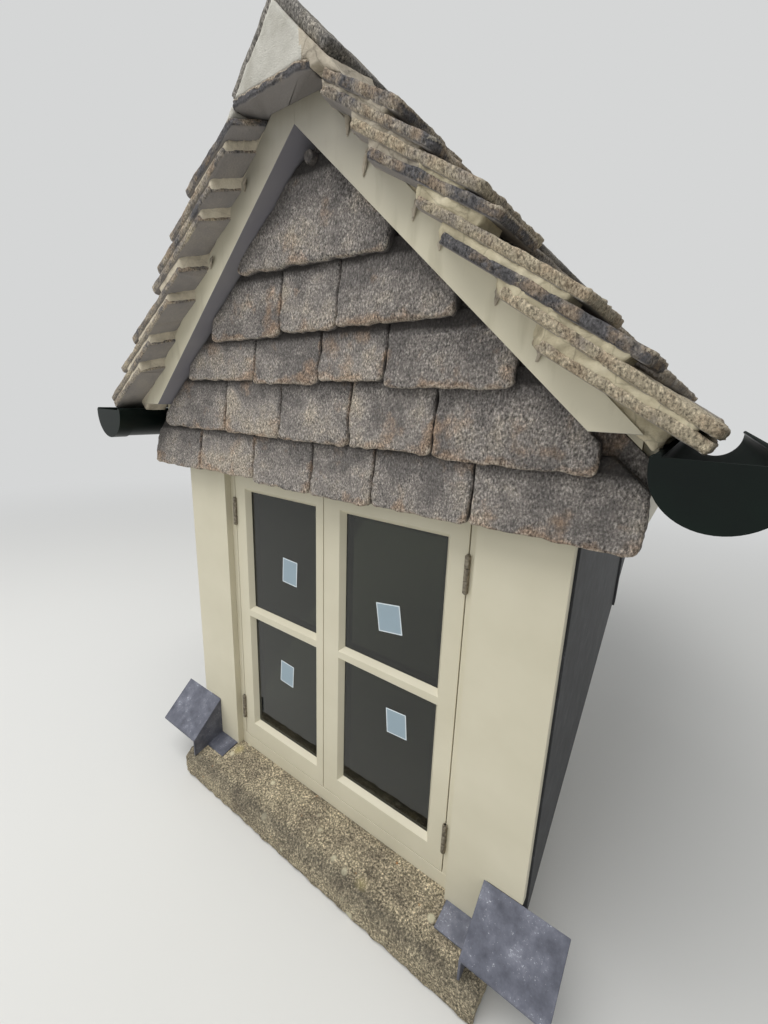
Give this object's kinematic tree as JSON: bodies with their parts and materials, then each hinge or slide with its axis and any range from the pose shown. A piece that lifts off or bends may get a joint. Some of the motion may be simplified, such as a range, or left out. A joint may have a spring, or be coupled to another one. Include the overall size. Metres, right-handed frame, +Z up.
{
  "type": "gabled dormer window",
  "caption": "Gabled dormer with a pair of glazed casements, stone sill, hung stone gable, stone slate roof, lead-clad cheeks and half-round gutters; it stands in a pitched roof.",
  "frame": {"origin": "On the underside of the stone sill, on the middle line of the window, in the plane of the backs of the gable's hung slates and the fronts of the face boards.", "axes": "+X to the right seen from outside, +Y into the house, +Z up."},
  "size_m": [1.4666, 1.9277, 1.7449],
  "materials": {
    "sill_stone": "rough, lichen-covered stone",
    "stone_slate": "rough, weathered stone",
    "ridge_stone": "rough, weathered stone",
    "lime_mortar": "smooth cream lime mortar",
    "sheet_lead": "dull, weathered lead",
    "cast_gutter": "dark gloss paint on cast iron",
    "hinge_iron": "dull and weathered",
    "window_glass": "clear double glazing",
    "inside_board": "white emulsion on board",
    "inside_paint": "white satin paint",
    "sawn_softwood": "bare sawn softwood",
    "cream_joinery": "cream satin paint on wood"
  },
  "bodies": {
    "root": {"barge_board_left": "cream_joinery", "barge_board_right": "cream_joinery", "ceiling": "inside_board", "cheek_boarding_left": "sawn_softwood", "cheek_boarding_right": "sawn_softwood", "cheek_frame_left": "sawn_softwood", "cheek_frame_right": "sawn_softwood", "cheek_lead_left": "sheet_lead", "cheek_lead_right": "sheet_lead", "cheek_lining_left": "inside_board", "cheek_lining_right": "inside_board", "corner_lead_left": "sheet_lead", "corner_lead_right": "sheet_lead", "eaves_box_left": "cream_joinery", "eaves_box_right": "cream_joinery", "face_board_left": "cream_joinery", "face_board_right": "cream_joinery", "frame_head": "cream_joinery", "frame_jamb_left": "cream_joinery", "frame_jamb_right": "cream_joinery", "frame_sill": "cream_joinery", "gable_panel": "sawn_softwood", "gable_slates": "stone_slate", "glass_panes": "window_glass", "glazing_beads": "cream_joinery", "gutter_brackets": "cast_gutter", "gutter_left": "cast_gutter", "gutter_right": "cast_gutter", "hinges": "hinge_iron", "lintel": "sawn_softwood", "rafters": "sawn_softwood", "ridge_mortar": "lime_mortar", "ridge_stones": "ridge_stone", "roof_boarding_left": "sawn_softwood", "roof_boarding_right": "sawn_softwood", "roof_slates_left": "stone_slate", "roof_slates_right": "stone_slate", "sash_left": "cream_joinery", "sash_right": "cream_joinery", "stone_sill": "sill_stone", "verge_mortar_left": "lime_mortar", "verge_mortar_right": "lime_mortar", "verge_slates_left": "stone_slate", "verge_slates_right": "stone_slate", "window_board": "inside_paint"}
  },
  "joints": []
}
